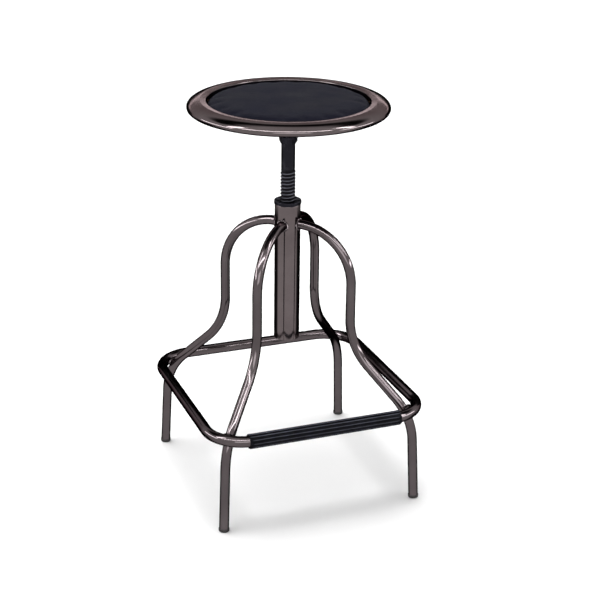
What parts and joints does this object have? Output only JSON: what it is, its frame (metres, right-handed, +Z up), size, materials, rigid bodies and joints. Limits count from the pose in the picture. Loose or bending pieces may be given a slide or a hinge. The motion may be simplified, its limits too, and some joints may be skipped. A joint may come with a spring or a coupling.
{
  "type": "adjustable swivel stool",
  "caption": "Backless work stool with a round padded steel seat on a lift screw, bent tube legs and a square foot ring.",
  "frame": {"origin": "on the floor, on the axis of the post", "axes": "+Z up along the post, -Y towards the rail with the tread, +X to the right of someone facing that rail from outside"},
  "size_m": [0.4168, 0.4205, 0.7235],
  "materials": {
    "gunmetal": "glossy gunmetal, mirror-like with streaked highlights",
    "black_steel": "blackened steel, lightly oiled, semi-gloss",
    "zinc_steel": "zinc plated",
    "glide_plastic": "black moulded plastic",
    "tread_rubber": "black ribbed sleeve with a soft sheen on the ribs",
    "nylon": "natural nylon",
    "plywood": "raw plywood",
    "foam": "open cell foam",
    "leather": "black, faintly blue, fine grain leather-like cover"
  },
  "bodies": {
    "base": {"post_tube": "gunmetal", "post_plug": "glide_plastic", "lift_nut": "black_steel", "leg_back_right": "gunmetal", "glide_back_right": "glide_plastic", "leg_back_left": "gunmetal", "glide_back_left": "glide_plastic", "leg_front_left": "gunmetal", "glide_front_left": "glide_plastic", "leg_front_right": "gunmetal", "glide_front_right": "glide_plastic", "foot_ring": "gunmetal", "foot_tread": "tread_rubber"},
    "guide": {"guide_bush": "nylon"},
    "seat": {"lift_screw": "black_steel", "stop_washer": "zinc_steel", "stop_bolt": "zinc_steel", "hex_collar": "black_steel", "mount_plate": "black_steel", "lock_washer": "zinc_steel", "top_nut": "zinc_steel", "seat_pan": "gunmetal", "seat_board": "plywood", "pad_foam": "foam", "pad_cover": "leather", "seat_bolt_1": "zinc_steel", "seat_bolt_2": "zinc_steel", "seat_bolt_3": "zinc_steel", "seat_bolt_4": "zinc_steel", "tee_nut_1": "zinc_steel", "tee_nut_2": "zinc_steel", "tee_nut_3": "zinc_steel", "tee_nut_4": "zinc_steel"}
  },
  "joints": [
    {"name": "seat_height", "type": "slide", "parent": "base", "child": "guide", "axis": [0, 0, 1], "range_m": [-0.051, 0.0765]},
    {"name": "seat_turn", "type": "hinge", "parent": "guide", "child": "seat", "pos_m": [0, 0, 0.6], "axis": [0, 0, 1], "range_deg": [-2880, 4320]}
  ],
  "couplings": [
    {"joint": "seat_height", "follows": "seat_turn", "m_per_rad": 0.0010106}
  ]
}
